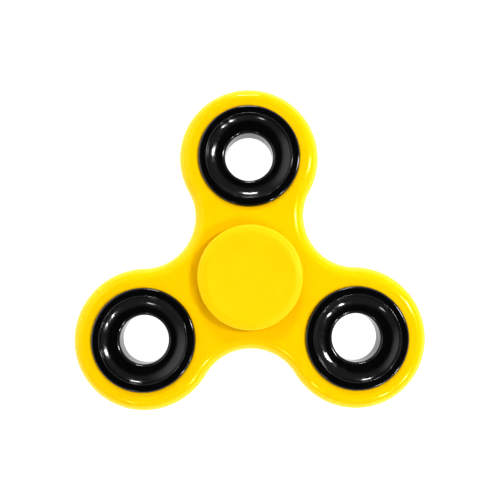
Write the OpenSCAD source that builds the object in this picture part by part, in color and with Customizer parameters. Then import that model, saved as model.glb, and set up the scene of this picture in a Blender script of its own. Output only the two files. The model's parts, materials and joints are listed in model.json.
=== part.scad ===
// Three-lobed fidget spinner: a moulded frame that turns on a ball bearing
// between two finger caps, with a covered steel weight in each lobe.
// The origin is the middle of the bearing, and the spin axis is Z.

/* [Frame] */
// Thickness of the frame between its flat faces, which is the bearing's width too
frame_t = 7; // [6.8:0.1:9]
// Distance from the spin axis to the axis of each weight
arm_r = 26.4; // [25.6:0.1:34]
// Wall of the frame round the outside of each weight
lobe_wall = 4.35; // [3:0.05:7]
// Wall of the frame outside the bearing, at the waist between two lobes
waist_wall = 4.55; // [3:0.05:6]
// Rounding of the frame's outer edges
edge_round = 2.8; // [0.5:0.1:2.9]

/* [Weights] */
// Outside diameter of each steel weight
weight_od = 22; // [19:0.1:27]
// Wall thickness of each steel weight
weight_wall = 2.6; // [2.2:0.1:2.7]
// Diameter of the hole through each weight's covers
eye_d = 10.5; // [8:0.1:12.6]
// Thickness of the covers' flange, on top of the frame's face
flange_t = 0.8; // [0.7:0.05:1.5]
// How far the flange laps over the edge of the weight's seat
flange_lap = 0.1; // [0.05:0.05:1]
// Width of the flat land round the rim of a cover
land_w = 1.9; // [1.8:0.1:2.4]
// Step from the land down to the edge of the bowl
bowl_step = 0.6; // [0.3:0.05:0.7]
// Depth of the bowl below that step
bowl_depth = 0.9; // [0.5:0.05:1.2]
// Wall thickness of the covers
cover_wall = 0.8; // [0.6:0.05:1]

/* [Bearing] */
// Outside diameter of the bearing
bearing_od = 22; // [20:0.1:27]
// Bore of the bearing
bearing_id = 8; // [6:0.1:9]
// Diameter of the balls
ball_d = 3.969; // [3.2:0.001:4.2]
// Number of balls
ball_count = 7; // [5:1:7]

/* [Caps] */
// Diameter of the finger caps
cap_d = 22.4; // [20:0.1:27]
// Height of a cap's rim above the frame's face
cap_rise = 3; // [2.4:0.1:4]
// Air gap between a cap and the frame
cap_gap = 0.8; // [0.6:0.1:1]
// Depth of the finger dish
dish_depth = 0.5; // [0.2:0.05:0.8]
// Diameter of the pin that joins the two caps
pin_d = 4.4; // [3:0.1:5]

/* [Fits] */
// Radial clearance of pieces that are pushed together and stay together
push_fit = 0.02; // [0.01:0.005:0.05]
// Radial clearance between a ball and each race's groove
ball_play = 0.02; // [0.01:0.005:0.05]
// Clearance between a ball and its pocket in the cage
pocket_play = 0.08; // [0.05:0.01:0.15]
// Gap between a shield and the inner race
shield_gap = 0.3; // [0.2:0.05:0.4]

/* [Hidden] */
$fn = 96;
dish_fn = 360; // facets of the large circle behind the shallow finger dish
SIDES = ["front", "back"];
LOBES = ["top", "left", "right"];
lobe_angle = [90, 210, 330];

half_t = frame_t / 2;
past = 1; // how far a cutter runs past the face that it cuts
crossing = 0.003; // how far a rounded corner's circle stands past its two faces, so that it crosses them

// frame outline: lobes, and the hollow between each two of them, which touches both
bearing_seat_r = bearing_od / 2 + push_fit;
weight_seat_r = weight_od / 2 + push_fit;
lobe_r = weight_seat_r + lobe_wall;
waist_r = bearing_seat_r + waist_wall;
hollow_turn = 60; // degrees from a lobe to the hollow beside it
hollow_r = (waist_r ^ 2 + arm_r ^ 2 - arm_r * waist_r - lobe_r ^ 2) / (arm_r + 2 * lobe_r - 2 * waist_r);
hollow_at = waist_r + hollow_r;
hollow_bite = 0.01; // how much deeper a hollow is cut than the lobes beside it
sector_overlap = 0.2; // degrees by which the cut round a lobe runs on into the hollow

// bearing
ball_r = ball_d / 2;
pitch_r = (bearing_id + bearing_od) / 4;
groove_ratio = 0.52; // radius of a race's groove over the ball's diameter
groove_r = groove_ratio * ball_d;
inner_groove_at = pitch_r - ball_r - ball_play + groove_r;
outer_groove_at = pitch_r + ball_r + ball_play - groove_r;
shoulder_ratio = 0.365; // depth of a race's land from the pitch circle, over the ball's diameter
shoulder = shoulder_ratio * ball_d;
inner_land_r = pitch_r - shoulder;
outer_land_r = pitch_r + shoulder;
race_chamfer = 0.3;
shield_t = 0.28;
shield_inset = 0.88; // from the race's end face to the inner face of a shield
shield_z = half_t - shield_inset;
shield_rim = 0.5; // height of the turned-up edge round a shield's hole
shield_lip = 0.65; // how far a shield's rim sits into the outer race
shield_seat_r = outer_land_r + shield_lip;
clip_wire_r = 0.17;
clip_opening = 30; // degrees
clip_groove = 0.12;
cage_t = 0.35;
cage_band = 1.5;
pocket_r = ball_r + pocket_play;
rivet_r = 0.3;
rivet_head_r = 0.5;
rivet_head_t = 0.15;
rivet_fit = 0.01;

// caps
cap_r = cap_d / 2;
cap_top = half_t + cap_rise;
cap_under = half_t + cap_gap;
cap_round = 0.7;
cap_under_round = 0.3;
cap_rim_w = 1.4; // from the cap's edge to the edge of its dish
dish_r = cap_r - cap_rim_w;
dish_curve = (dish_r ^ 2 + dish_depth ^ 2) / (2 * dish_depth);
cap_skin = 1.1; // thickness of the cap above its hollow
cap_skirt = 1; // wall round that hollow
cap_hollow_z = cap_top - dish_depth - cap_skin;
boss_inset = 0.2; // from the edge of the inner race's end face to the boss
boss_r = inner_land_r - boss_inset;
spigot_r = bearing_id / 2 - push_fit;
spigot_gap = 0.1; // from each spigot's end to the middle of the bearing
pin_r = pin_d / 2;
pin_short = 0.6; // from the pin's end to the level of the bearing's far face
pin_end = half_t - pin_short;
socket_gap = 0.2; // below the pin's end
lead_in = 0.25; // chamfers on spigots and the pin

// weights
ring_id_r = weight_od / 2 - weight_wall;
ring_chamfer = 1;
ring_edge = 0.3;
flange_top = half_t + flange_t;
flange_r = weight_seat_r + flange_lap;
flange_round = 0.6;
land_in_r = flange_r - land_w;
ledge_w = 0.2; // ledge between the step and the bowl
bowl_edge_r = land_in_r - ledge_w;
bowl_edge_z = flange_top - bowl_step;
eye_r = eye_d / 2;
eye_round = 0.7;
floor_w = 0.2; // flat floor of the bowl, round the eye's rounded edge
bowl_floor_r = eye_r + eye_round + floor_w;
bowl_floor_z = bowl_edge_z - bowl_depth;
bowl_span = bowl_edge_r - bowl_floor_r;
bowl_r = (bowl_span ^ 2 + bowl_depth ^ 2) / (2 * bowl_depth);
tube_r = eye_r + cover_wall;
sleeve_gap = 0.03;
sleeve_wall = 0.65;
sleeve_r = tube_r + sleeve_gap + sleeve_wall;
sleeve_reach = 1.3; // of the back cover's sleeve, over the front cover's tube
bead_r = 0.15;
bead_z = 0.75;
ring_gap = 0.05; // between a cover and the steel ring
bowl_lap = 0.01; // how far the bowl's curve is cut into its flat floor

// ---- helpers ----

// A rectangle in a revolved section, from radius r0 to r1 and height z0 to z1
module block(r0, r1, z0, z1) {
    translate([r0, z0]) square([r1 - r0, z1 - z0]);
}

// What is cut off a section's upper outer corner to round it
module outer_corner(r, z, round) {
    difference() {
        block(r - round, r + past, z - round, z + past);
        translate([r - round + crossing, z - round + crossing]) circle(round);
    }
}

// Draws its children at the given side: as they are in front, turned over at the back
module on_side(side) {
    if (side == "back") rotate([0, 180, 0]) children();
    else children();
}

// Moves its children to a lobe's axis, with their own X pointing outwards
module on_lobe(i) {
    rotate(lobe_angle[i]) translate([arm_r, 0, 0]) children();
}

// ---- frame ----

// The outside of a lobe, as the section of what is cut away round it
module round_lobe_section() {
    block(lobe_r, arm_r + lobe_r + 2 * past, -half_t - past, half_t + past);
    for (flip = [0, 1])
        mirror([0, flip]) outer_corner(lobe_r, half_t, edge_round);
}

// The side of the frame in a hollow, as the section of what is cut away there
module hollow_section() {
    r = hollow_r + hollow_bite;
    block(0, r, -half_t - past, half_t + past);
    for (flip = [0, 1])
        mirror([0, flip]) translate([2 * r, 0]) mirror([1, 0]) outer_corner(r, half_t, edge_round);
}

// The plate is cut in sectors that meet on the lines from the lobes' axes to the hollows' axes,
// where lobe and hollow touch: first round the lobes, and then in the hollows
module outline_plate() {
    to_hollow = [hollow_at * cos(hollow_turn) - arm_r, hollow_at * sin(hollow_turn)];
    lobe_sweep = atan2(to_hollow.y, to_hollow.x) + sector_overlap;
    hollow_sweep = atan2(arm_r * sin(hollow_turn), hollow_at - arm_r * cos(hollow_turn));
    difference() {
        difference() {
            cylinder(r = arm_r + lobe_r + past, h = frame_t, center = true);
            for (i = [0:2])
                on_lobe(i)
                    rotate_extrude(angle = 2 * lobe_sweep, start = -lobe_sweep) round_lobe_section();
        }
        for (a = lobe_angle)
            rotate(a + hollow_turn)
                translate([hollow_at, 0, 0])
                    rotate_extrude(angle = 2 * hollow_sweep, start = 180 - hollow_sweep)
                        hollow_section();
    }
}

module frame_body() {
    color("gold")
        difference() {
            outline_plate();
            cylinder(r = bearing_seat_r, h = frame_t + 2 * past, center = true);
            for (i = [0:2])
                on_lobe(i) cylinder(r = weight_seat_r, h = frame_t + 2 * past, center = true);
        }
}

// ---- bearing ----

module race_section(r0, r1, groove_at) {
    difference() {
        block(r0, r1, -half_t, half_t);
        translate([groove_at, 0]) circle(groove_r);
        for (z = [-1, 1])
            translate([r0 == bearing_id / 2 ? r0 : r1, z * half_t])
                rotate(45) square(race_chamfer * sqrt(2), center = true);
    }
}

module bearing_inner_race() {
    color("silver") rotate_extrude() race_section(bearing_id / 2, inner_land_r, inner_groove_at);
}

// The outer race, with the step for a shield and the groove for its clip at each end
module bearing_outer_race() {
    color("silver")
        rotate_extrude()
            difference() {
                race_section(outer_land_r, bearing_od / 2, outer_groove_at);
                for (flip = [0, 1])
                    mirror([0, flip]) {
                        block(outer_land_r - past, shield_seat_r, shield_z, half_t + past);
                        block(outer_land_r, shield_seat_r + clip_groove, shield_z + shield_t,
                              shield_z + shield_t + 2 * clip_wire_r);
                    }
            }
}

module at_balls(half_step = 0) {
    for (k = [1:ball_count]) rotate(ball_angle(k + half_step)) translate([pitch_r, 0, 0]) children();
}

function ball_angle(k) = 90 + 360 / ball_count * (k - 1);

module bearing_ball(k) {
    color("lightgray") rotate(ball_angle(k)) translate([pitch_r, 0, 0]) sphere(r = ball_r);
}

// One half of the riveted ribbon cage: a flat band with a domed pocket over each ball
module bearing_cage(side) {
    color("darkgray")
        on_side(side)
            difference() {
                intersection() {
                    rotate_extrude()
                        block(pitch_r - cage_band / 2, pitch_r + cage_band / 2, 0, pocket_r + cage_t + past);
                    union() {
                        cylinder(r = pitch_r + cage_band, h = cage_t);
                        on_side_balls(side) sphere(r = pocket_r + cage_t);
                    }
                }
                on_side_balls(side) sphere(r = pocket_r);
                on_side_balls(side, 0.5)
                    cylinder(r = rivet_r + rivet_fit, h = 2 * (cage_t + past), center = true);
            }
}

// The ball places, as they are seen from the given side
module on_side_balls(side, half_step = 0) {
    mirror([side == "back" ? 1 : 0, 0, 0]) at_balls(half_step) children();
}

module bearing_cage_rivets() {
    color("darkgray")
        at_balls(0.5) {
            cylinder(r = rivet_r, h = 2 * cage_t, center = true);
            for (z = [-1, 1])
                translate([0, 0, z * (cage_t + rivet_head_t / 2)])
                    cylinder(r = rivet_head_r, h = rivet_head_t, center = true);
        }
}

module bearing_shield(side) {
    color("silver")
        on_side(side)
            rotate_extrude() {
                block(inner_land_r + shield_gap, shield_seat_r - push_fit, shield_z, shield_z + shield_t);
                block(inner_land_r + shield_gap, inner_land_r + shield_gap + shield_t,
                      shield_z, shield_z + shield_rim);
            }
}

module bearing_clip(side) {
    color("dimgray")
        on_side(side)
            rotate(90 + clip_opening / 2)
                rotate_extrude(angle = 360 - clip_opening)
                    translate([shield_seat_r + clip_groove - clip_wire_r - push_fit,
                               shield_z + shield_t + clip_wire_r])
                        circle(clip_wire_r - push_fit / 2);
}

// ---- caps ----

// A cap: its rounded disc, hollow underneath, the boss that sits on the inner race and the spigot
// in the race's bore, which ends at the given points
module cap_section(tip) {
    difference() {
        polygon(concat(
            [
                [0, cap_top],
                [cap_r, cap_top],
                [cap_r, cap_under],
                [cap_r - cap_skirt, cap_under],
                [cap_r - cap_skirt, cap_hollow_z],
                [boss_r, cap_hollow_z],
                [boss_r, half_t],
                [spigot_r, half_t],
                [spigot_r, spigot_gap + lead_in],
                [spigot_r - lead_in, spigot_gap]
            ],
            tip
        ));
        outer_corner(cap_r, cap_top, cap_round);
        mirror([0, 1]) outer_corner(cap_r, -cap_under, cap_under_round);
        translate([0, cap_top - dish_depth + dish_curve]) circle(dish_curve, $fn = dish_fn);
    }
}

// The front cap's spigot ends in a pin, which is pushed into a socket in the back cap's spigot
pin_tip = [
    [pin_r, spigot_gap],
    [pin_r, -pin_end + lead_in],
    [pin_r - lead_in, -pin_end],
    [0, -pin_end]
];
socket_tip = [
    [pin_r + push_fit, spigot_gap],
    [pin_r + push_fit, pin_end + socket_gap],
    [0, pin_end + socket_gap]
];

module finger_cap(side) {
    color("yellow")
        on_side(side)
            rotate_extrude() cap_section(side == "front" ? pin_tip : socket_tip);
}

// ---- weights ----

module weight_ring(i) {
    color("dimgray")
        on_lobe(i)
            rotate_extrude()
                polygon([
                    [ring_id_r, -half_t + ring_chamfer],
                    [ring_id_r + ring_chamfer, -half_t],
                    [weight_od / 2 - ring_edge, -half_t],
                    [weight_od / 2, -half_t + ring_edge],
                    [weight_od / 2, half_t - ring_edge],
                    [weight_od / 2 - ring_edge, half_t],
                    [ring_id_r + ring_chamfer, half_t],
                    [ring_id_r, half_t - ring_chamfer]
                ]);
}

// What the bowl, its step and the eye's rounded edge take out of a cover
module bowl_section() {
    block(0, land_in_r, bowl_edge_z, flange_top + past);
    block(0, bowl_floor_r, bowl_floor_z, flange_top);
    intersection() {
        block(bowl_floor_r - bowl_lap, bowl_edge_r, bowl_floor_z - past, flange_top);
        translate([bowl_floor_r, bowl_floor_z + bowl_r]) circle(bowl_r);
    }
    difference() {
        block(0, eye_r + eye_round, bowl_floor_z - eye_round, flange_top);
        translate([eye_r + eye_round, bowl_floor_z - eye_round]) circle(eye_round);
    }
}

// A cover down to the middle of the weight: flange, bowl and tube
module cover_section() {
    web_r = ring_id_r - ring_gap;
    web_z = half_t - ring_chamfer - ring_gap;
    difference() {
        polygon([
            [eye_r, 0],
            [tube_r, 0],
            [tube_r, bowl_floor_z - cover_wall],
            [web_r, web_z],
            [web_r + ring_chamfer, half_t],
            [flange_r, half_t],
            [flange_r, flange_top],
            [eye_r, flange_top]
        ]);
        bowl_section();
        outer_corner(flange_r, flange_top, flange_round);
    }
}

// The sleeve that grips the other cover's tube, with its snap bead
module sleeve_section() {
    block(eye_r + cover_wall / 2, sleeve_r, -bowl_floor_z + cover_wall / 2, 0);
    block(tube_r + sleeve_gap, sleeve_r, -cover_wall, sleeve_reach);
    translate([tube_r + sleeve_gap, bead_z]) circle(bead_r);
}

// The back cover carries the sleeve, and the front cover's tube the groove for its bead
module weight_cover(side, i) {
    color("black")
        on_lobe(i)
            rotate_extrude()
                if (side == "front")
                    difference() {
                        cover_section();
                        translate([tube_r + sleeve_gap, bead_z]) circle(bead_r + sleeve_gap);
                    }
                else {
                    mirror([0, 1]) cover_section();
                    sleeve_section();
                }
}

// ---- nodes ----

frame_body();
bearing_outer_race();
bearing_inner_race();
bearing_cage_rivets();
for (s = SIDES) {
    finger_cap(s);
    bearing_cage(s);
    bearing_shield(s);
    bearing_clip(s);
}
for (k = [1:ball_count])
    bearing_ball(k);
for (i = [0:2])
    weight_ring(i);
for (i = [0:2], s = SIDES)
    weight_cover(s, i);
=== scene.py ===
import json
import math

import bpy
import numpy as np
from mathutils import Euler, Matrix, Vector, geometry


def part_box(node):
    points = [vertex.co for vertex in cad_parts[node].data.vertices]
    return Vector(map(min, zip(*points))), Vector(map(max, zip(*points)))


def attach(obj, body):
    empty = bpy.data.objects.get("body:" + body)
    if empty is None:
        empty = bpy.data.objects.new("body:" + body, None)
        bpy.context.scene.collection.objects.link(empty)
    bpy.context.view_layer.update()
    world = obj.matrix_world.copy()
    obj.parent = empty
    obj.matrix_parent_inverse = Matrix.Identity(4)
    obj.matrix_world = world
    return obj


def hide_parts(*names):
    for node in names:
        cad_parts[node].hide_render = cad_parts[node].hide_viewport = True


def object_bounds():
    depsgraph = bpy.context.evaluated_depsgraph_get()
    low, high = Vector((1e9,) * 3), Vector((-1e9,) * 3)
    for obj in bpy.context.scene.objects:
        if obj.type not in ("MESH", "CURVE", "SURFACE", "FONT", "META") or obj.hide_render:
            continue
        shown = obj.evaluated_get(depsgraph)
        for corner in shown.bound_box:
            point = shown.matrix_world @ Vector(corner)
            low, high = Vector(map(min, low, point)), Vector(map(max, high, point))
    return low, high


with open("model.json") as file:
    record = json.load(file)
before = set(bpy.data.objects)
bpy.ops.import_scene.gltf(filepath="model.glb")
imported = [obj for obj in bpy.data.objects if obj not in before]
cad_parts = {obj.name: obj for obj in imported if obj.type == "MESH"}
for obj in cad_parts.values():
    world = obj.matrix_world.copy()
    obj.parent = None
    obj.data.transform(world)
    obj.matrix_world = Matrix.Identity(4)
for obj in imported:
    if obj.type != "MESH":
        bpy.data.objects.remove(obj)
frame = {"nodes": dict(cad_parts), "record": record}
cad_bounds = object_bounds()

# Lengths are in millimetres until a mesh is made.
MM = 0.001


def box_mm(node):
    """The lowest and highest corners of a CAD node, in millimetres."""
    low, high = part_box(node)
    return np.array(low) / MM, np.array(high) / MM


# ---------------------------------------------------------------- sizes from the frame

EYES = {
    m["name"].removeprefix("eye_"): m
    for m in frame["record"]["mounts"]
    if m["name"].startswith("eye_")
}
LOBE_AXIS = {lobe: np.array(m["pos_m"][:2]) / MM for lobe, m in EYES.items()}
EYE_R = EYES["top"]["dims"]["r_mm"]
ARM_R = float(np.hypot(*LOBE_AXIS["top"]))

BODY_HIGH = box_mm("frame_body")[1]
HALF_T = float(BODY_HIGH[2])
LOBE_R = float(BODY_HIGH[1]) - ARM_R
BEARING_R = float(box_mm("bearing_outer_race")[1][0])
WEIGHT_R = float(np.ptp([b[0] for b in box_mm("weight_ring_top")])) / 2
CAP_R, CAP_TOP = (float(box_mm("finger_cap_front")[1][i]) for i in (0, 2))
PIN_END = float(box_mm("finger_cap_front")[0][2])
FLANGE_R = float(np.ptp([b[0] for b in box_mm("weight_cover_front_top")])) / 2
FLANGE_TOP = float(box_mm("weight_cover_front_top")[1][2])

# roundings of small edges
CRISP = 0.04
SHARP = 0.05
EASED = 0.1
SOFT = 0.3

# the frame's moulding
PUSH_FIT = 0.02
WAIST_WALL = 4.55
EDGE_ROUND = 2.8
SEAT_ROUND = 0.15
WITNESS = 0.03  # height of the line that the two halves of the mould leave round the edge
WITNESS_CREST = 0.06  # half the width of that line at its crest
WITNESS_FOOT = 0.10  # and at its foot
SUPPORT = 0.08  # width of the flat border inside the rounded edge
BORE_STEPS = 192

# the covers
LAND_W = 1.9
LAND_ROUND = 0.12
BEAD_W = 0.14  # bead round the inner edge of the land
BEAD_RISE = 0.06
FLANGE_ROUND = 0.55
BOWL_STEP = 0.6
STEP_LEAN = 0.04  # how far the step leans inwards on its way down
LEDGE_W = 0.2  # ledge at the foot of the step
BRINK = 0.05  # how far inside the ledge's edge the bowl starts
BRINK_ROUND = 0.12
BOWL_DEPTH = 0.9
BOWL_FILL = 0.93  # of the bowl's radius, so that its arc ends short of the ledge and the floor
FLOOR_W = 0.2  # flat floor beside the throat
THROAT = 0.7  # rounding where the bowl turns down into the eye
COVER_WALL = 0.8
WEIGHT_WALL = 2.6
RING_CHAMFER = 1.0
RING_GAP = 0.05
SLEEVE_REACH = 1.3
SLEEVE_WALL = 0.65
SLEEVE_GAP = 0.03
SLEEVE_RISE = 0.12  # how much higher the sleeve meets the web under the bowl than a bare tube does

# the caps
CAP_GAP = 0.8
CAP_RIM_W = 1.6
RIM_ROUND = 3.0
SHOULDER_DROP = 0.45  # from the crest of the rim to where its edge turns down
SHOULDER_ROUND = 0.55
DISH_DEPTH = 0.5
DISH_ROUND = 80.0
CAP_SKIN = 1.1
CAP_SKIRT = 1.0
BOSS_INSET = 0.2
BOSS_R = float(box_mm("bearing_inner_race")[1][0]) - BOSS_INSET
SPIGOT_R = 3.98
SPIGOT_GAP = 0.1
PIN_R = 2.2
SOCKET_GAP = 0.2
LEAD_IN = 0.25

SLOT_OF = {s["node"]: s["material_slot"] for s in frame["record"]["subparts"]}


# ---------------------------------------------------------------- shapes


def rounded(corners, closed=True, step=6.0):
    """A section with rounded corners.

    corners are (r, z, radius), with the solid on the left of the path. At each corner the path
    turns by some angle: the arc that turns it starts radius * tan(angle / 2) before the corner,
    and is cut into steps of step degrees. Returns the points and the normals, which point away
    from the solid."""
    path = np.array([c[:2] for c in corners], float)
    radius = np.array([c[2] for c in corners], float)
    before = path - np.roll(path, 1, axis=0)
    after = np.roll(path, -1, axis=0) - path
    if not closed:
        before[0], after[-1] = after[0], before[-1]
    before /= np.linalg.norm(before, axis=1, keepdims=True)
    after /= np.linalg.norm(after, axis=1, keepdims=True)
    heading = np.arctan2(before[:, 1], before[:, 0])
    turn = np.arctan2(
        before[:, 0] * after[:, 1] - before[:, 1] * after[:, 0], (before * after).sum(axis=1)
    )
    points, normals = [], []
    for corner, r, d, start, angle in zip(path, radius, before, heading, turn):
        count = max(2, math.ceil(abs(math.degrees(angle)) / step) + 1)
        if r == 0 or abs(angle) < 1e-6:
            count, r = 1, 0.0
        a = start + angle * (np.linspace(0, 1, count) if count > 1 else np.array([0.5]))
        out = np.stack([np.sin(a), -np.cos(a)], axis=1)
        side = math.copysign(1.0, angle)
        first_out = np.array([math.sin(start), -math.cos(start)])
        centre = corner - d * r * math.tan(abs(angle) / 2) - side * r * first_out
        points.append(centre + side * r * out if r else corner[None])
        normals.append(out)
    return np.concatenate(points), np.concatenate(normals)


def quads(rows, cols, rows_wrap, cols_wrap):
    """The corner numbers of the faces between neighbouring points of a grid."""
    i = np.arange(rows * cols).reshape(rows, cols)
    j = np.roll(i, -1, axis=0)
    faces = np.stack([i, j, np.roll(j, -1, axis=1), np.roll(i, -1, axis=1)], axis=-1)
    faces = faces[: rows if rows_wrap else rows - 1, : cols if cols_wrap else cols - 1]
    return faces.reshape(-1, 4)


def turned(section, centre=(0.0, 0.0), steps=256, closed=True):
    """A section turned about an upright axis through centre.

    The point at height z and distance r from the axis goes round to
    x = centre x + r cos u, y = centre y + r sin u. A section that isn't closed starts and ends on
    the axis, and its two ends are closed with fans of triangles round a pole."""
    points, normals = section
    pole_z = None if closed else (points[0, 1], points[-1, 1])
    if not closed:
        points, normals = points[1:-1], normals[1:-1]
    u = np.linspace(0, 2 * np.pi, steps, endpoint=False)[:, None]
    round_x, round_y = np.cos(u), np.sin(u)

    def swept(rz, offset):
        return np.stack(
            [
                offset[0] + round_x * rz[None, :, 0],
                offset[1] + round_y * rz[None, :, 0],
                np.broadcast_to(rz[None, :, 1], (steps, len(rz))),
            ],
            axis=-1,
        ).reshape(-1, 3)

    verts, vert_normals = swept(points, centre), swept(normals, (0.0, 0.0))
    faces = quads(steps, len(points), True, closed).tolist()
    if not closed:
        low, high = len(verts), len(verts) + 1
        verts = np.vstack([verts, [(*centre, pole_z[0]), (*centre, pole_z[1])]])
        vert_normals = np.vstack([vert_normals, [(0, 0, normals[0, 1]), (0, 0, normals[-1, 1])]])
        ring = np.arange(steps) * len(points)
        after = np.roll(ring, -1)
        last = len(points) - 1
        faces += np.stack([np.full(steps, low), after, ring], axis=1).tolist()
        faces += np.stack([np.full(steps, high), ring + last, after + last], axis=1).tolist()
    return verts, vert_normals, faces


def turned_over(section):
    """A section's mirror image below the frame's middle plane, with the solid still on its left."""
    points, normals = section
    return (points * [1, -1])[::-1], (normals * [1, -1])[::-1]


def add_piece(name, shape, material, body, stands_for):
    """Makes a mesh in metres from points, normals and faces, and hands it to its CAD body."""
    verts, normals, faces = shape
    mesh = bpy.data.meshes.new(name)
    mesh.from_pydata(verts * MM, [], faces)
    mesh.validate()
    mesh.shade_smooth()
    mesh.normals_split_custom_set_from_vertices(normals)
    mesh.materials.append(material)
    piece = bpy.data.objects.new(name, mesh)
    bpy.context.scene.collection.objects.link(piece)
    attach(piece, body)
    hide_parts(stands_for)
    return piece


# ---------------------------------------------------------------- the frame's moulding


def outline(arc_step=0.35):
    """The frame's outline as points and the directions that point out of the frame there.

    It goes round each lobe on an arc about the lobe's axis, and through each hollow on an arc about
    an axis outside the frame. Both end on the line between the two axes, so that they touch: the
    hollow's radius is the one at which the distance between the axes, by the law of cosines with
    60 degrees between them, is the sum of the two radii."""
    waist_r = BEARING_R + PUSH_FIT + WAIST_WALL
    hollow_r = (waist_r**2 + ARM_R**2 - ARM_R * waist_r - LOBE_R**2) / (
        ARM_R + 2 * LOBE_R - 2 * waist_r
    )
    hollow_at = waist_r + hollow_r
    half, rise = math.cos(math.pi / 3), math.sin(math.pi / 3)
    lobe_half_angle = math.atan2(hollow_at * rise, hollow_at * half - ARM_R)
    hollow_half_angle = math.atan2(ARM_R * rise, hollow_at - ARM_R * half)

    def arc(centre, r, a0, a1, outward):
        count = math.ceil(abs(a1 - a0) * r / arc_step)
        a = np.linspace(a0, a1, count, endpoint=False)
        spoke = np.stack([np.cos(a), np.sin(a)], axis=1)
        return centre + r * spoke, outward * spoke

    arcs = []
    for lobe in LOBE_AXIS:
        at = math.atan2(*LOBE_AXIS[lobe][::-1])
        arcs.append(arc(LOBE_AXIS[lobe], LOBE_R, at - lobe_half_angle, at + lobe_half_angle, 1))
        at += math.pi / 3
        hollow = hollow_at * np.array([math.cos(at), math.sin(at)])
        far = at + math.pi
        arcs.append(arc(hollow, hollow_r, far + hollow_half_angle, far - hollow_half_angle, -1))
    return tuple(np.concatenate(column) for column in zip(*arcs))


def edge_section():
    """The frame's edge from its back face to its front face, as (distance outwards, z): a quarter
    round, the upright side with the mould's witness line half way up, and a quarter round."""
    inner = -EDGE_ROUND - SUPPORT
    side = -WITNESS
    back = [
        (inner, -HALF_T, 0),
        (side, -HALF_T, EDGE_ROUND - WITNESS),
        (side, -WITNESS_FOOT, CRISP),
        (0.0, -WITNESS_CREST, WITNESS),  # rounded by its own height
    ]
    front = [(x, -z, r) for x, z, r in back[::-1]]
    return rounded(back + front, closed=False, step=4.5)


def seat_section(r):
    """The wall of a bore from its front edge down to its back edge, as (distance from axis, z)."""
    border = r + SEAT_ROUND + SUPPORT
    front = [(border, HALF_T, 0), (r, HALF_T, SEAT_ROUND)]
    return rounded(front + [(x, -z, q) for x, z, q in front[::-1]], closed=False, step=15)


def carried(section, path, outwards):
    """A section of (distance outwards, z) carried along a path in the XY plane: each of its points
    goes along at path + distance * outwards, at its own z."""
    flat = path[:, None, :] + section[None, :, :1] * outwards[:, None, :]
    height = np.broadcast_to(section[None, :, 1:], (len(path), len(section), 1))
    return np.dstack([flat, height]).reshape(-1, 3)


def frame_moulding():
    """The moulded frame: its edge section carried round the outline, the four bores, and two flat
    faces that fill what is between them."""
    path, outwards = outline()
    edge, edge_normal = edge_section()
    verts = [carried(edge, path, outwards)]
    normals = [carried(edge_normal, np.zeros_like(path), outwards)]
    faces = quads(len(path), len(edge), True, False).tolist()
    count = len(verts[0])
    first = np.arange(len(path)) * len(edge)
    front_loops, back_loops = [first + len(edge) - 1], [first]

    bores = [((0.0, 0.0), BEARING_R + PUSH_FIT)]
    bores += [(tuple(axis), WEIGHT_R + PUSH_FIT) for axis in LOBE_AXIS.values()]
    for centre, r in bores:
        wall = seat_section(r)
        depth = len(wall[0])
        ring_verts, ring_normals, _ = turned(wall, centre, BORE_STEPS)
        verts.append(ring_verts)
        normals.append(ring_normals)
        faces += (quads(BORE_STEPS, depth, True, False) + count).tolist()
        ring = np.arange(BORE_STEPS) * depth + count
        front_loops.append(ring)
        back_loops.append(ring + depth - 1)
        count += len(ring_verts)

    verts, normals = np.vstack(verts), np.vstack(normals)
    for loops, facing in ((front_loops, 1), (back_loops, -1)):
        faces += flat_faces(verts, loops, bores, facing)
    return verts, normals, faces


SAME_POINT = 1e-7  # millimetres within which the triangulation takes two points for one


def flat_faces(verts, loops, bores, facing):
    """Triangles between one outer loop of points and the loops round the bores, on one level."""
    used = np.concatenate(loops)
    starts = np.cumsum([0] + [len(loop) for loop in loops])
    rounds = [np.arange(a, b) for a, b in zip(starts[:-1], starts[1:])]
    edges = np.concatenate([np.stack([run, np.roll(run, -1)], axis=1) for run in rounds])
    made = geometry.delaunay_2d_cdt(verts[used, :2].tolist(), edges.tolist(), [], 1, SAME_POINT)
    points, tris, origins = np.array(made[0]), np.array(made[2]), np.array(made[3])
    back_to = used[origins[:, 0]]
    middle = points[tris].mean(axis=1)
    for centre, r in bores:
        inside = np.linalg.norm(middle - np.array(centre), axis=1) < r
        tris, middle = tris[~inside], middle[~inside]
    inside = within(middle, verts[loops[0], :2])
    tris = back_to[tris[inside]]
    return (tris if facing > 0 else tris[:, ::-1]).tolist()


def within(points, loop):
    """Which points lie inside a loop: those from which a ray along x crosses it an odd number of
    times."""
    x, y = points[:, :1], points[:, 1:]
    x0, y0 = loop[:, 0], loop[:, 1]
    x1, y1 = np.roll(x0, -1), np.roll(y0, -1)
    spans = (y0 > y) != (y1 > y)
    rise = np.where(y1 == y0, 1.0, y1 - y0)
    crossing = x0 + (y - y0) / rise * (x1 - x0)
    return (spans & (x < crossing)).sum(axis=1) % 2 == 1


# ---------------------------------------------------------------- the weights' covers


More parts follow.
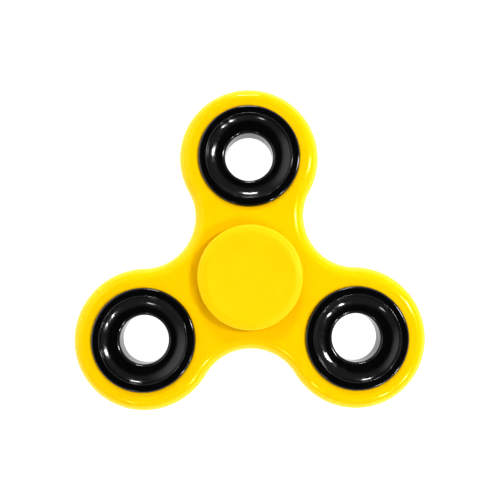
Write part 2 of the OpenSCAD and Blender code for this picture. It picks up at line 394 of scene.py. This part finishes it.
def cover_section(sleeve):
    """A cover: flange, land with its bead, step, bowl and the tube through the eye, down to the
    middle plane. With sleeve it has the collar that grips the other cover's tube below that plane.
    The bowl is an arc that leaves its floor level and reaches its edge at span across and
    BOWL_DEPTH up, so its radius is (span squared + depth squared) / (2 depth)."""
    land_in = FLANGE_R - LAND_W
    land_z = FLANGE_TOP - BEAD_RISE
    ledge = FLANGE_TOP - BOWL_STEP
    bowl_edge = land_in - LEDGE_W
    floor_z = ledge - BOWL_DEPTH
    floor_r = EYE_R + THROAT + FLOOR_W
    span = bowl_edge - floor_r
    bowl_r = (span**2 + BOWL_DEPTH**2) / (2 * BOWL_DEPTH)
    slope = math.asin(span / bowl_r)
    knee = floor_r + bowl_r * math.tan(slope / 2)
    tube_r = EYE_R + COVER_WALL
    web_r = WEIGHT_R - WEIGHT_WALL - RING_GAP
    web_z = HALF_T - RING_CHAMFER - RING_GAP
    web_under = floor_z - COVER_WALL
    if sleeve:
        inner = tube_r + SLEEVE_GAP
        outer = inner + SLEEVE_WALL
        tube = [
            (EYE_R, 0, CRISP),
            (inner, 0, CRISP / 2),
            (inner, -SLEEVE_REACH, EASED),
            (outer, -SLEEVE_REACH, EASED),
            (outer, web_under + SLEEVE_RISE, 2 * EASED),
        ]
    else:
        tube = [(EYE_R, 0, CRISP), (tube_r, 0, EASED), (tube_r, web_under, 2 * EASED)]
    return rounded(
        tube
        + [
            (web_r, web_z, EASED),
            (web_r + RING_CHAMFER, HALF_T, SHARP),
            (FLANGE_R, HALF_T, CRISP),
            (FLANGE_R, land_z, FLANGE_ROUND),
            (land_in + BEAD_W + BEAD_RISE, land_z, EASED),
            (land_in + BEAD_W, FLANGE_TOP, EASED),
            (land_in, FLANGE_TOP, LAND_ROUND),
            (land_in - STEP_LEAN, ledge, EASED),
            (bowl_edge - BRINK, ledge, BRINK_ROUND),
            (knee, floor_z, BOWL_FILL * bowl_r),
            (EYE_R, floor_z, THROAT),
        ],
        step=5,
    )


# ---------------------------------------------------------------- the finger caps


def cap_section(pin):
    """A cap from the axis under its spigot, round its outside and over its dish to the axis.
    Its rim's crest is an arc of radius RIM_ROUND, and its dish one of DISH_ROUND. The front cap's
    spigot ends in the pin, and the back cap's in the pin's socket."""
    under = HALF_T + CAP_GAP
    ceiling = CAP_TOP - DISH_DEPTH - CAP_SKIN
    dish_r = CAP_R - CAP_RIM_W
    if pin:
        tip = [
            (0, PIN_END, 0),
            (PIN_R - LEAD_IN, PIN_END, SHARP),
            (PIN_R, PIN_END + LEAD_IN, SHARP),
            (PIN_R, SPIGOT_GAP, SHARP),
        ]
    else:
        bottom = -PIN_END + SOCKET_GAP
        socket_r = PIN_R + PUSH_FIT
        tip = [(0, bottom, 0), (socket_r, bottom, EASED), (socket_r, SPIGOT_GAP, SHARP)]
    return rounded(
        tip
        + [
            (SPIGOT_R - LEAD_IN, SPIGOT_GAP, SHARP),
            (SPIGOT_R, SPIGOT_GAP + LEAD_IN, SHARP),
            (SPIGOT_R, HALF_T, SHARP),
            (BOSS_R, HALF_T, EASED),
            (BOSS_R, ceiling, SOFT),
            (CAP_R - CAP_SKIRT, ceiling, SOFT),
            (CAP_R - CAP_SKIRT, under, EASED),
            (CAP_R, under, SOFT),
            (CAP_R, CAP_TOP - SHOULDER_DROP, SHOULDER_ROUND),
            (dish_r, CAP_TOP, RIM_ROUND),
            (dish_r / 2, CAP_TOP - DISH_DEPTH, DISH_ROUND),
            (0, CAP_TOP - DISH_DEPTH, 0),
        ],
        closed=False,
        step=4,
    )


# ---------------------------------------------------------------- materials


def colour(hex_code):
    """A colour given as sRGB hex, in the linear values that a shader takes."""
    channels = [int(hex_code[i : i + 2], 16) / 255 for i in (0, 2, 4)]
    linear = [c / 12.92 if c <= 0.04045 else ((c + 0.055) / 1.055) ** 2.4 for c in channels]
    return (*linear, 1.0)


def add(tree, kind, out, sockets, **settings):
    """Adds a node with its settings, and gives its output out. sockets maps its inputs to values,
    or to the outputs of other nodes, which are linked to them."""
    made = tree.nodes.new(kind)
    for name, value in settings.items():
        setattr(made, name, value)
    for name, value in sockets.items():
        if isinstance(value, bpy.types.NodeSocket):
            tree.links.new(value, made.inputs[name])
        else:
            made.inputs[name].default_value = value
    return None if out is None else made.outputs[out]


COORDINATES = "ShaderNodeTexCoord"
MAPPING = "ShaderNodeMapping"
NOISE = "ShaderNodeTexNoise"
RANGE = "ShaderNodeMapRange"
MIX = "ShaderNodeMix"
BUMP = "ShaderNodeBump"
SHADER = "ShaderNodeBsdfPrincipled"
OUTPUT = "ShaderNodeOutputMaterial"

# sockets of a Mix node in colour mode
SHARE, FIRST, SECOND, MIXED = 0, 6, 7, 2


def per_mm(size):
    """The scale of a noise whose grains are about size millimetres across."""
    return 1 / (size * MM)


def new_material(name):
    """An empty material, its node tree, and the object's own coordinates for its patterns."""
    material = bpy.data.materials.new(name)
    material.use_nodes = True
    tree = material.node_tree
    tree.nodes.clear()
    return material, tree, add(tree, COORDINATES, "Object", {})


def clouded(tree, place, size, detail, spread, first, second):
    """Clouds of size millimetres, and the colour that drifts with them. It goes evenly from first
    to second while the clouds' value goes over spread."""
    cloud = add(tree, NOISE, "Fac", {"Vector": place, "Scale": per_mm(size), "Detail": detail})
    ends = {"Value": cloud, "From Min": spread[0], "From Max": spread[1]}
    share = add(tree, RANGE, "Result", ends)
    hues = {SHARE: share, FIRST: colour(first), SECOND: colour(second)}
    return cloud, add(tree, MIX, MIXED, hues, data_type="RGBA")


ABS_IOR = 1.53
YELLOW = ("FFCB00", "FFCE02")
YELLOW_ABS = {
    "IOR": ABS_IOR,
    "Specular Tint": colour("FFE680"),
    "Subsurface Radius": (1.0, 0.55, 0.05),
}


def gloss_yellow_abs():
    """ABS from a polished mould. The eye sees a deep warm yellow that lets a little light in, a
    gloss that wavers slightly where the plastic shrank, and fine rub marks from pockets."""
    material, tree, place = new_material("gloss_yellow_abs")
    _, tint = clouded(tree, place, 9.0, 3.0, (0.35, 0.65), *YELLOW)
    # broad, shallow sink marks, and over them the fine peel of the mould's polish
    sunk = add(tree, NOISE, "Fac", {"Vector": place, "Scale": per_mm(6.0), "Detail": 1.0})
    shrink = add(tree, BUMP, "Normal", {"Height": sunk, "Distance": 0.02 * MM})
    fine = add(tree, NOISE, "Fac", {"Vector": place, "Scale": per_mm(0.7), "Detail": 2.0})
    peel = add(tree, BUMP, "Normal", {"Height": fine, "Distance": 0.0006 * MM, "Normal": shrink})
    # rub marks, drawn out along one direction
    drawn = {"Vector": place, "Scale": (0.25, 3.0, 1.0), "Rotation": (0, 0, 0.6)}
    marks = {
        "Vector": add(tree, MAPPING, "Vector", drawn),
        "Scale": per_mm(0.8),
        "Detail": 6.0,
        "Roughness": 0.7,
    }
    wear = {
        "Value": add(tree, NOISE, "Fac", marks),
        "From Min": 0.5,
        "From Max": 0.8,
        "To Min": 0.10,
        "To Max": 0.26,
    }
    look = {
        **YELLOW_ABS,
        "Base Color": tint,
        "Roughness": add(tree, RANGE, "Result", wear),
        "Normal": peel,
        "Subsurface Weight": 0.25,
        "Subsurface Scale": 1.2 * MM,
    }
    add(tree, OUTPUT, None, {"Surface": add(tree, SHADER, "BSDF", look)})
    return material


def matt_yellow_abs():
    """ABS from a spark-eroded mould. The eye sees a fine even grain that spreads every highlight,
    and a faint polish where thumbs have rubbed it."""
    material, tree, place = new_material("matt_yellow_abs")
    _, tint = clouded(tree, place, 7.0, 3.0, (0.35, 0.65), *YELLOW)
    # real spark grain is about 0.03 mm; this one is drawn coarser, so that it shows
    grain = {"Vector": place, "Scale": per_mm(0.16), "Detail": 3.0, "Roughness": 0.6}
    texture = {"Height": add(tree, NOISE, "Fac", grain), "Distance": 0.012 * MM}
    thumbed = {"Vector": place, "Scale": per_mm(5.0), "Detail": 4.0}
    polish = {
        "Value": add(tree, NOISE, "Fac", thumbed),
        "From Min": 0.35,
        "From Max": 0.7,
        "To Min": 0.5,
        "To Max": 0.38,
    }
    look = {
        **YELLOW_ABS,
        "Base Color": tint,
        "Roughness": add(tree, RANGE, "Result", polish),
        "Normal": add(tree, BUMP, "Normal", texture),
        "Subsurface Weight": 0.2,
        "Subsurface Scale": 1.0 * MM,
    }
    add(tree, OUTPUT, None, {"Surface": add(tree, SHADER, "BSDF", look)})
    return material


def gloss_black_abs():
    """Black ABS from a polished mould. The eye sees a near mirror on black, which wavers a little,
    with fine specks and a few duller patches from handling."""
    material, tree, place = new_material("gloss_black_abs")
    _, tint = clouded(tree, place, 4.0, 4.0, (0.35, 0.65), "050605", "090A09")
    broad = add(tree, NOISE, "Fac", {"Vector": place, "Scale": per_mm(2.5), "Detail": 2.0})
    waver = add(tree, BUMP, "Normal", {"Height": broad, "Distance": 0.012 * MM})
    specks = {"Vector": place, "Scale": per_mm(0.25), "Detail": 5.0, "Roughness": 0.75}
    dusty = {
        "Height": add(tree, NOISE, "Fac", specks),
        "Distance": 0.0012 * MM,
        "Normal": waver,
    }
    patches = {"Vector": place, "Scale": per_mm(1.4), "Detail": 7.0, "Roughness": 0.7}
    handled = {
        "Value": add(tree, NOISE, "Fac", patches),
        "From Min": 0.4,
        "From Max": 0.75,
        "To Min": 0.07,
        "To Max": 0.24,
    }
    look = {
        "Base Color": tint,
        "Roughness": add(tree, RANGE, "Result", handled),
        "Normal": add(tree, BUMP, "Normal", dusty),
        "IOR": ABS_IOR,
    }
    add(tree, OUTPUT, None, {"Surface": add(tree, SHADER, "BSDF", look)})
    return material


def steel(name, low, high, smooth, dull, line_gap, line_depth):
    """Steel in the colours low to high and the roughness smooth to dull, in patches 2 mm across.
    Its tool left lines about line_gap millimetres apart along Z, and line_depth deep."""
    material, tree, place = new_material(name)
    patchy = (0.3, 0.7)
    cloud, tint = clouded(tree, place, 2.0, 4.0, patchy, low, high)
    round_z = add(tree, MAPPING, "Vector", {"Vector": place, "Scale": (0.02, 0.02, 1.0)})
    lines = add(tree, NOISE, "Fac", {"Vector": round_z, "Scale": per_mm(line_gap), "Detail": 3.0})
    finish = {
        "Value": cloud,
        "From Min": patchy[0],
        "From Max": patchy[1],
        "To Min": smooth,
        "To Max": dull,
    }
    look = {
        "Base Color": tint,
        "Roughness": add(tree, RANGE, "Result", finish),
        "Normal": add(tree, BUMP, "Normal", {"Height": lines, "Distance": line_depth * MM}),
        "Metallic": 1.0,
    }
    add(tree, OUTPUT, None, {"Surface": add(tree, SHADER, "BSDF", look)})
    return material


def make_materials():
    """One material for each of the record's slots."""
    return {
        "frame_plastic": gloss_yellow_abs(),
        "cap_plastic": matt_yellow_abs(),
        "cover_plastic": gloss_black_abs(),
        # turned steel under a film of oil: even grooves from the lathe
        "weight_steel": steel("turned_oiled_steel", "5E5C59", "767470", 0.28, 0.42, 0.12, 0.006),
        # ground and honed bearing steel: lines too fine to see one by one
        "race_steel": steel("ground_bearing_steel", "B9B9BA", "CDCDCE", 0.12, 0.2, 0.05, 0.001),
        # lapped balls: a mirror
        "ball_steel": steel("lapped_ball_steel", "D0D0D1", "DBDBDC", 0.04, 0.08, 0.2, 0.0001),
        # pressed mild sheet: rolled lines and a satin look
        "cage_steel": steel("pressed_sheet_steel", "9C9C9E", "B4B4B5", 0.25, 0.38, 0.1, 0.003),
        # oil-blackened spring wire
        "clip_steel": steel("drawn_spring_wire", "3A3B3E", "505155", 0.3, 0.45, 0.06, 0.003),
    }


# ---------------------------------------------------------------- the object

MATERIAL = make_materials()
BODY_OF = {
    node: body for body, nodes in frame["record"]["behaviour"]["bodies"].items() for node in nodes
}

replaced = []


def replace(name, shape, node):
    """Puts a finished piece in the place of a CAD node, in that node's finish."""
    add_piece(name, shape, MATERIAL[SLOT_OF[node]], BODY_OF[node], node)
    replaced.append(node)


replace("frame_moulding", frame_moulding(), "frame_body")

for side in ("front", "back"):
    section = cap_section(pin=side == "front")
    if side == "back":
        section = turned_over(section)
    replace(f"cap_{side}", turned(section, closed=False), f"finger_cap_{side}")

    section = cover_section(sleeve=side == "back")
    if side == "back":
        section = turned_over(section)
    for lobe, axis in LOBE_AXIS.items():
        replace(f"cover_{side}_{lobe}", turned(section, axis), f"weight_cover_{side}_{lobe}")

for node, cad_object in frame["nodes"].items():
    if node not in replaced:
        cad_object.data.materials.clear()
        cad_object.data.materials.append(MATERIAL[SLOT_OF[node]])


# ---------------------------------------------------------------- floor, light and camera

FLOOR_Z = cad_bounds[0].z
FLOOR_HALF = 0.8  # metres

# each window's tilt off upright and its direction round Z in degrees, its width and height in
# metres, and its power in watts
WINDOWS = {
    "right_window": (39, 14, (0.08, 0.15), 1.8),
    "corner_pane_near": (47, -36, (0.04, 0.10), 0.65),
    "corner_pane_far": (47, -54, (0.04, 0.10), 0.65),
    "top_window": (60, 90, (0.16, 0.07), 1.4),
    "low_pane": (46, -114, (0.08, 0.05), 0.2),
}
WINDOW_DISTANCE = 0.7  # metres

WALL_DIRECTION = (-0.80, 0.29, 0.53)

LENS = 44.9
CAMERA_AT = (-1.81, -1.97, 137.74)
CAMERA_TURN = (3.35, -0.76, -0.45)  # degrees


def lit_white_acrylic():
    """Matt white acrylic lit from below. The eye sees an even white with a faint mottle."""
    material, tree, place = new_material("lit_white_acrylic")
    _, tint = clouded(tree, place, 30.0, 2.0, (0.0, 1.0), "B8B8B6", "BCBCBA")
    look = {
        "Base Color": tint,
        "Roughness": 0.9,
        "Specular IOR Level": 0.1,
        "Emission Color": colour("FFFFFF"),
        "Emission Strength": 0.84,
    }
    add(tree, OUTPUT, None, {"Surface": add(tree, SHADER, "BSDF", look)})
    return material


def add_floor():
    """A square floor that the back cap stands on."""
    corners = FLOOR_HALF * np.array([(-1, -1), (1, -1), (1, 1), (-1, 1)])
    mesh = bpy.data.meshes.new("floor")
    mesh.from_pydata([(x, y, FLOOR_Z) for x, y in corners], [], [(0, 1, 2, 3)])
    mesh.materials.append(lit_white_acrylic())
    floor = bpy.data.objects.new("floor", mesh)
    bpy.context.scene.collection.objects.link(floor)


def add_window(name, tilt, azimuth, size, power):
    """A soft light that faces the object from WINDOW_DISTANCE away."""
    data = bpy.data.lights.new(name, "AREA")
    data.shape = "RECTANGLE"
    data.size, data.size_y = size
    data.energy = power
    window = bpy.data.objects.new(name, data)
    t, a = math.radians(tilt), math.radians(azimuth)
    towards = Vector((math.sin(t) * math.cos(a), math.sin(t) * math.sin(a), math.cos(t)))
    window.location = towards * WINDOW_DISTANCE
    window.rotation_euler = towards.to_track_quat("Z", "Y").to_euler()
    bpy.context.scene.collection.objects.link(window)


def add_world():
    """A white room with a dark ceiling. Its light is the sum of three layers, and each goes
    smoothly from one strength to another while a cosine goes from one value to another: the cosine
    of the angle off upright, or of the angle off the middle of the wall on the left."""
    world = bpy.data.worlds.new("studio")
    world.use_nodes = True
    tree = world.node_tree
    tree.nodes.clear()
    towards = add(tree, COORDINATES, "Generated", {})
    height = add(tree, "ShaderNodeSeparateXYZ", "Z", {"Vector": towards})
    off_wall = {0: towards, 1: WALL_DIRECTION}
    leftness = add(tree, "ShaderNodeVectorMath", "Value", off_wall, operation="DOT_PRODUCT")
    layers = (
        # the ceiling is almost black within 18 degrees of upright, and dim from 37 degrees down
        {"Value": height, "From Min": 0.95, "From Max": 0.8, "To Min": 0.02, "To Max": 0.30},
        # the horizon is bright up to 3 degrees, and its light fades out 16 degrees up
        {"Value": height, "From Min": 0.28, "From Max": 0.05, "To Min": 0.0, "To Max": 2.2},
        # the wall on the left has a glow that fades out 40 degrees from its middle
        {"Value": leftness, "From Min": 0.76, "From Max": 1.0, "To Min": 0.0, "To Max": 1.0},
    )
    total = 0.0
    for layer in layers:
        shade = add(tree, RANGE, "Result", layer, interpolation_type="SMOOTHSTEP")
        total = add(tree, "ShaderNodeMath", "Value", {0: total, 1: shade}, operation="ADD")
    sky = {"Color": colour("FFFFFF"), "Strength": total}
    background = add(tree, "ShaderNodeBackground", "Background", sky)
    add(tree, "ShaderNodeOutputWorld", None, {"Surface": background})
    bpy.context.scene.world = world


def add_camera():
    """A camera almost straight above, leaning a little towards the top lobe."""
    data = bpy.data.cameras.new("camera")
    data.lens = LENS
    data.clip_start = 0.01
    camera = bpy.data.objects.new("camera", data)
    camera.location = Vector(CAMERA_AT) * MM
    camera.rotation_euler = Euler([math.radians(a) for a in CAMERA_TURN], "XYZ")
    bpy.context.scene.collection.objects.link(camera)
    bpy.context.scene.camera = camera


add_floor()
add_world()
for name, window in WINDOWS.items():
    add_window(name, *window)
add_camera()
bpy.context.scene.view_settings.view_transform = "Standard"
bpy.context.scene.view_settings.look = "Medium High Contrast"
